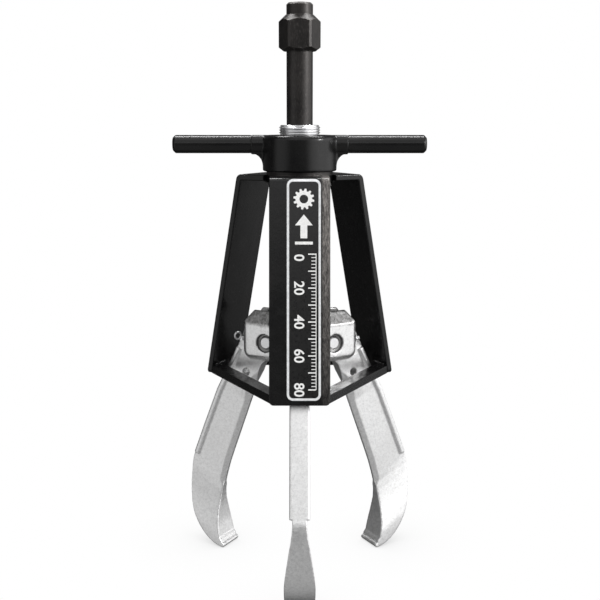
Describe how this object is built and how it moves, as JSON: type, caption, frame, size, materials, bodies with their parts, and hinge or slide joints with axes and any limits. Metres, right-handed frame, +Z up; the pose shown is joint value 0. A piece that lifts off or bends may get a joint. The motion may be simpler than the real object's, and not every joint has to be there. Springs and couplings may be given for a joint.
{
  "type": "three-jaw gear puller",
  "caption": "Cage-guided jaw puller: hooked jaws swing in a flat-bar cage worked by a T-handle on a threaded stem, with a hex-headed forcing screw through the middle.",
  "frame": {"origin": "on the forcing-screw axis, in the plane of the jaw tips", "axes": "+Z up along the forcing screw towards its hexagon; -Y through the front leg and front jaw; +X along the right T-handle bar"},
  "size_m": [0.1856, 0.1565, 0.4265],
  "materials": {
    "black_enamel": "gloss",
    "plated_steel": "satin",
    "zinc_steel": "satin",
    "black_oxide": "satin",
    "hardened_steel": "satin",
    "label_plate": "gloss"
  },
  "bodies": {
    "cage": {"cage_collar": "black_enamel", "cage_leg_front": "black_enamel", "cage_leg_left": "black_enamel", "cage_leg_right": "black_enamel", "cage_ring_bar_left": "black_enamel", "cage_ring_bar_right": "black_enamel", "cage_ring_bar_rear": "black_enamel", "name_plate": "label_plate"},
    "t_handle": {"t_handle_hub": "black_enamel", "t_handle_bar_left": "black_enamel", "t_handle_bar_right": "black_enamel", "thrust_washer": "black_oxide", "lower_washer": "zinc_steel", "retaining_ring": "black_oxide"},
    "jaw_head": {"jaw_head_block": "plated_steel", "jaw_head_stem": "plated_steel", "clevis_pin_front": "zinc_steel", "clevis_pin_left": "zinc_steel", "clevis_pin_right": "zinc_steel"},
    "front_jaw": {"jaw_front": "plated_steel", "cotter_pin_front": "zinc_steel"},
    "left_jaw": {"jaw_left": "plated_steel", "cotter_pin_left": "zinc_steel"},
    "right_jaw": {"jaw_right": "plated_steel", "cotter_pin_right": "zinc_steel"},
    "screw_point": {"swivel_tip": "hardened_steel", "tip_retaining_ring": "zinc_steel"},
    "screw": {"forcing_screw": "black_oxide", "hex_drive_nut": "black_oxide"}
  },
  "joints": [
    {"name": "t_handle_turn", "type": "hinge", "parent": "cage", "child": "t_handle", "pos_m": [0, 0, 0.3212], "axis": [0, 0, -1], "range_deg": [-1587, 8900]},
    {"name": "jaw_head_lift", "type": "slide", "parent": "cage", "child": "jaw_head", "axis": [0, 0, 1], "range_m": [-0.008, 0.0449]},
    {"name": "front_jaw_swing", "type": "hinge", "parent": "jaw_head", "child": "front_jaw", "pos_m": [0, -0.0239, 0.177], "axis": [1, 0, 0], "range_deg": [-2.75, 15.3]},
    {"name": "left_jaw_swing", "type": "hinge", "parent": "jaw_head", "child": "left_jaw", "pos_m": [-0.0207, 0.01195, 0.177], "axis": [-0.5, -0.866, 0], "range_deg": [-2.75, 15.3]},
    {"name": "right_jaw_swing", "type": "hinge", "parent": "jaw_head", "child": "right_jaw", "pos_m": [0.0207, 0.01195, 0.177], "axis": [-0.5, 0.866, 0], "range_deg": [-2.75, 15.3]},
    {"name": "screw_feed", "type": "slide", "parent": "jaw_head", "child": "screw_point", "axis": [0, 0, -1], "range_m": [-0.03, 0.05]},
    {"name": "screw_turn", "type": "hinge", "parent": "screw_point", "child": "screw", "pos_m": [0, 0, 0.141], "axis": [0, 0, -1], "range_deg": [-5940, 9900]}
  ],
  "couplings": [
    {"joint": "jaw_head_lift", "follows": "t_handle_turn", "m_per_rad": 0.00028875},
    {"joint": "front_jaw_swing", "follows": "t_handle_turn", "ratio": 0.0017135},
    {"joint": "left_jaw_swing", "follows": "t_handle_turn", "ratio": 0.0017135},
    {"joint": "right_jaw_swing", "follows": "t_handle_turn", "ratio": 0.0017135},
    {"joint": "screw_feed", "follows": "screw_turn", "m_per_rad": 0.00028875}
  ]
}
